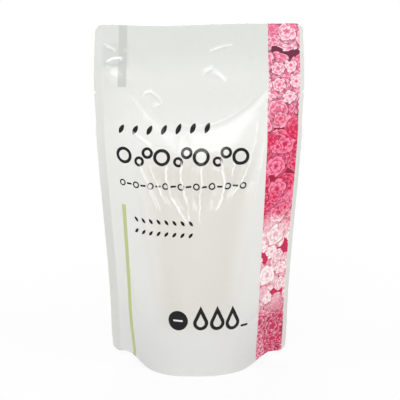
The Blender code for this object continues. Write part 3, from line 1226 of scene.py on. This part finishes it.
@dataclass(frozen=True)
class PlainFilm:
    """Back film or base gusset: white laminate, unprinted, glossy and a little milky."""

    name: str
    white: str = "#E6E7E2"
    seal_white: str = "#DCDDD9"
    weld_mm: Pair = (59.4, 60.6)
    skin: FilmSkin = field(default_factory=FilmSkin)

    def coats(self, graph: FilmGraph) -> list[Coat]:
        """What lies over the white, in order: where each coat shows, and its colour."""
        return [(graph.fade(graph.across, *self.weld_mm), srgb(self.seal_white))]

    def material(self) -> bpy.types.Material:
        """Builds the film's material.

        Returns:
            The material.
        """
        graph = FilmGraph(self.name)
        colour = srgb(self.white)
        for share, coat in self.coats(graph):
            colour = graph.blend(share, colour, coat)
        graph.feed(graph.shader.inputs["Base Color"], colour)
        self.skin.finish(graph)
        return graph.owner


@dataclass(frozen=True)
class PrintedFilm(PlainFilm):
    """Front film: polyester over white polyethylene, gravure printed inside, then laminated.

    The ink lies under a clear smooth skin, so it shines exactly as the bare film does, and its edges are
    crisp. Shade is painted into its white: darker towards the foot, over the flat head and towards the top,
    round the spout, and as a warm darker V in the belly's middle, where the bulge reflects the dim room in
    front. White glints are painted along the sharp creases.
    """

    name: str = "printed_polyester_laminate"
    layout: PrintLayout = field(default_factory=PrintLayout)
    band: BlossomBand = field(default_factory=BlossomBand)
    white: str = "#E4E4E0"
    # Painted shade: a warm darker V in the belly's middle, where the bulge reflects the dim room in front.
    belly_shade_white: str = "#D7D5CE"
    # Painted shade: the white drawn darker towards the foot, over the flat head and towards the top.
    foot_shade_white: str = "#DCDCDA"
    head_shade_white: str = "#DDDED9"
    top_shade_white: str = "#D4D6D1"
    seal_white: str = "#D6D7D2"
    grey: str = "#C2C6C1"
    # Painted shade round the embossed spout.
    spout_shade: str = "#CCCFCA"
    green: str = "#BCC68C"
    ink: str = "#060608"
    # Painted highlights: white glints along the crease crests.
    glint_share: Pair = (0.45, 1.0)
    glint_levels: Pair = (0.38, 0.60)
    glint_scale: float = 0.16
    ink_edge_mm: float = 0.16
    strip_edge_mm: float = 0.6
    # The soft edge of the shade painted round the spout.
    spout_shade_edge_mm: float = 3.6
    # Where the belly's painted shade lies.
    belly_shade_sides_mm: Pair = (27.0, 8.0)
    belly_shade_narrowing: float = -0.13
    belly_shade_foot_mm: Pair = (22.0, 40.0)
    belly_shade_top_mm: Pair = (152.0, 128.0)
    # Where the painted shade towards the foot, over the head and towards the top lies.
    foot_shade_mm: Pair = (70.0, 14.0)
    head_shade_mm: Pair = (150.0, 176.0)
    top_shade_mm: Pair = (186.0, 209.0)

    def coats(self, graph: FilmGraph) -> list[Coat]:
        """Lays the white's painted shades, fields of colour, ink and painted crease glints over each other.

        Args:
            graph: The film's graph.

        Returns:
            Where each coat shows, and its colour, from the lowest to the topmost.
        """
        layout = self.layout
        return [
            # Painted shade: darker towards the foot, over the flat head and towards the top.
            (graph.fade(graph.height, *self.foot_shade_mm), srgb(self.foot_shade_white)),
            (graph.fade(graph.height, *self.head_shade_mm), srgb(self.head_shade_white)),
            (graph.fade(graph.height, *self.top_shade_mm), srgb(self.top_shade_white)),
            # Painted shade: the belly's warm darker V.
            (self.belly_shade(graph), srgb(self.belly_shade_white)),
            *super().coats(graph),
            # Painted shade round the spout.
            (self.within(graph, layout.spout_shade_field, self.spout_shade_edge_mm), srgb(self.spout_shade)),
            (self.within(graph, layout.grey_strip, self.strip_edge_mm), srgb(self.grey)),
            (self.within(graph, layout.blossom_band, self.ink_edge_mm), self.band.colour(graph)),
            (self.within(graph, layout.stripe, self.ink_edge_mm), srgb(self.green)),
            (self.marks(graph, layout.ink()), srgb(self.ink)),
            (self.marks(graph, [layout.disc_bar]), srgb(self.white)),
            # Painted highlights: white glints along the crease crests.
            (self.painted_glints(graph), PLAIN_WHITE),
        ]

    def belly_shade(self, graph: FilmGraph) -> Socket:
        """Finds the painted shade in the belly's middle, a warm darker V where it reflects the dim room.

        Args:
            graph: The film's graph.

        Returns:
            The share at each place.
        """
        narrowed = graph.math("MULTIPLY_ADD", graph.height, self.belly_shade_narrowing, graph.across)
        shares = [graph.fade(narrowed, *self.belly_shade_sides_mm)]
        shares += [graph.fade(graph.height, *ends) for ends in (self.belly_shade_foot_mm, self.belly_shade_top_mm)]
        return reduce(partial(graph.math, "MULTIPLY"), shares)

    def painted_glints(self, graph: FilmGraph) -> Socket:
        """Finds the painted highlights: white glints along the sharp creases' crests, over film and ink.

        Args:
            graph: The film's graph.

        Returns:
            The share of painted white glint at each place, patchy along each crease.
        """
        crest = graph.add("Attribute", [], "Fac", attribute_name=GLINT_LAYER)
        patchy = graph.noise(graph.place, self.glint_scale)
        patchy = graph.add("MapRange", [patchy, *self.glint_levels, *self.glint_share])
        return graph.math("MULTIPLY", crest, patchy)

    def within(self, graph: FilmGraph, field_mm: tuple[Pair, Pair], soft: float) -> Socket:
        """Finds an upright rectangle of the film.

        Args:
            graph: The film's graph.
            field_mm: The rectangle's left and right side, and its foot and top.
            soft: The width over which its edge fades, in millimetres.

        Returns:
            1 inside it and 0 outside.
        """
        shares = []
        for value, (low, high) in zip((graph.flat, graph.height), field_mm):
            aside = graph.math("ABSOLUTE", graph.math("SUBTRACT", value, (low + high) / 2))
            half = (high - low) / 2
            shares.append(graph.fade(aside, half + soft / 2, half - soft / 2))
        return graph.math("MULTIPLY", *shares)

    def marks(self, graph: FilmGraph, marks: list[Mark]) -> Socket:
        """1 where any of the marks lays its ink, and 0 beside them."""
        nearest = reduce(partial(graph.math, "MINIMUM"), [mark.distance(graph) for mark in marks])
        return graph.fade(nearest, self.ink_edge_mm / 2, -self.ink_edge_mm / 2)


@dataclass(frozen=True)
class Softbox:
    """A square-edged studio lamp that faces the pack from a bearing round it and a height above it.

    The bearing is 0 at the camera's side and 90 to its right, in degrees, as is the elevation.
    """

    name: str
    bearing_and_rise: Pair
    size: Pair
    power: float
    distance: float = 1.0

    def build(self, target: Vector) -> None:
        """Hangs the lamp and turns it to the target.

        Args:
            target: The world place that it faces.
        """
        lamp = bpy.data.lights.new(self.name, "AREA")
        lamp.shape = "RECTANGLE"
        lamp.size, lamp.size_y = self.size
        lamp.energy = self.power
        bearing, rise = (math.radians(angle) for angle in self.bearing_and_rise)
        level = math.cos(rise)
        away = Vector((math.sin(bearing) * level, -math.cos(bearing) * level, math.sin(rise)))
        holder = in_scene(self.name, lamp)
        holder.location = target + self.distance * away
        holder.rotation_euler = away.to_track_quat("Z", "Y").to_euler()
        holder.visible_camera = False


@dataclass(frozen=True)
class Studio:
    """A pale floor, a white room, soft lamps and the camera at the photograph's place."""

    camera_elevation_deg: float = 20.2
    camera_distance: float = 1.989
    camera_lens_mm: float = 287.5
    aim: tuple[float, float, float] = (0.0005, 0.0, 0.1072)
    floor_size: float = 6.0
    floor_below: float = 0.0001
    floor_colour: str = "#F4F4F4"
    floor_roughness: float = 0.9
    floor_radii: Pair = (0.07, 0.24)
    floor_shares: Pair = (0.90, 1.0)
    fill: float = 0.14
    softboxes: tuple[Softbox, ...] = (
        Softbox("key_softbox", (-8.0, 27.5), (0.64, 0.46), 5.5),
        Softbox("right_strip", (62.0, 26.0), (0.22, 0.50), 3.0),
        Softbox("left_strip", (-72.0, 26.0), (0.22, 0.50), 2.0),
        Softbox("top_softbox", (0.0, 76.0), (0.60, 0.35), 0.6),
        Softbox("back_softbox", (188.0, 28.0), (0.90, 0.50), 5.4),
    )

    def build(self) -> None:
        """Sets the floor, the world, the lamps and the camera."""
        bpy.context.scene.view_settings.view_transform = "Standard"
        self.build_floor()
        self.build_world()
        for softbox in self.softboxes:
            softbox.build(Vector(self.aim))
        self.build_camera()

    def build_camera(self) -> None:
        """Sets the camera where the photograph was taken from, turned to the pack."""
        camera = in_scene("camera", bpy.data.cameras.new("camera"))
        camera.data.lens = self.camera_lens_mm
        rise = math.radians(self.camera_elevation_deg)
        back = Vector((0.0, -math.cos(rise), math.sin(rise)))
        camera.location = Vector(self.aim) + self.camera_distance * back
        camera.rotation_euler = (-back).to_track_quat("-Z", "Y").to_euler()
        bpy.context.scene.camera = camera

    def seen_rays(self, graph: Graph) -> Socket:
        """Builds 1 for what the camera sees, also in a reflection or through a clear piece.

        Args:
            graph: The graph of the floor or the world.

        Returns:
            The share of each ray.
        """
        path = graph.add("LightPath").node.outputs
        seen = graph.math("MAXIMUM", path["Is Camera Ray"], path["Is Glossy Ray"])
        return graph.math("MAXIMUM", seen, path["Is Transmission Ray"])

    def build_floor(self) -> None:
        """Lays a pale floor that keeps the pack's shadow near it and is plain white further out."""
        half = self.floor_size / 2
        corners = [(-half, -half), (half, -half), (half, half), (-half, half)]
        mesh = bpy.data.meshes.new("floor")
        mesh.from_pydata([(x, y, -self.floor_below) for x, y in corners], [], [(0, 1, 2, 3)])
        mesh.materials.append(self.floor_material())
        in_scene("floor", mesh)

    def floor_material(self) -> bpy.types.Material:
        """Builds the floor's material, whiter with the distance from the pack.

        Returns:
            The material.
        """
        graph = Graph(bpy.data.materials.new("pale_floor"))
        graph.feed(graph.shader.inputs["Base Color"], srgb(self.floor_colour))
        graph.feed(graph.shader.inputs["Roughness"], self.floor_roughness)
        flat = graph.vector("MULTIPLY", graph.add("NewGeometry", [], "Position"), (1.0, 1.0, 0.0))
        share = graph.add("MapRange", [graph.length(flat), *self.floor_radii, *self.floor_shares])
        share = graph.math("MULTIPLY", share, self.seen_rays(graph))
        white = graph.add("Emission", [PLAIN_WHITE, 1.0])
        mixed = graph.add("MixShader", [share, graph.shader.outputs[0], white])
        graph.feed(graph.nodes["Material Output"].inputs["Surface"], mixed)
        return graph.owner

    def build_world(self) -> None:
        """Makes the room white to the eye and a plain soft fill on the pack."""
        graph = Graph(bpy.data.worlds.new("white_room"))
        level = graph.add("MapRange", [self.seen_rays(graph), 0.0, 1.0, self.fill, 1.0])
        graph.feed(graph.nodes["Background"].inputs["Color"], PLAIN_WHITE)
        graph.feed(graph.nodes["Background"].inputs["Strength"], level)
        bpy.context.scene.world = graph.owner


def main() -> None:
    """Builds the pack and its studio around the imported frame, and reports each piece."""
    logging.basicConfig(level=logging.INFO, format="%(name)s: %(message)s")
    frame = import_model()
    LOG.info("frame: nodes %s", ", ".join(sorted(frame["nodes"])))
    printed = PrintedFilm()
    pack = FilmPack(print_edges=printed.layout.edges())
    piece = pack.build()
    backs = [PlainFilm("plain_polyester_laminate"), PlainFilm("gusset_laminate", "#E2E3DF")]
    pack.dress(piece, [film.material() for film in (printed, *backs)])
    LOG.info("film pack: %d points, %d faces", len(piece.data.vertices), len(piece.data.polygons))
    Studio().build()
    LOG.info("studio: floor, world, lamps and camera")


if __name__ == "__main__":
    main()
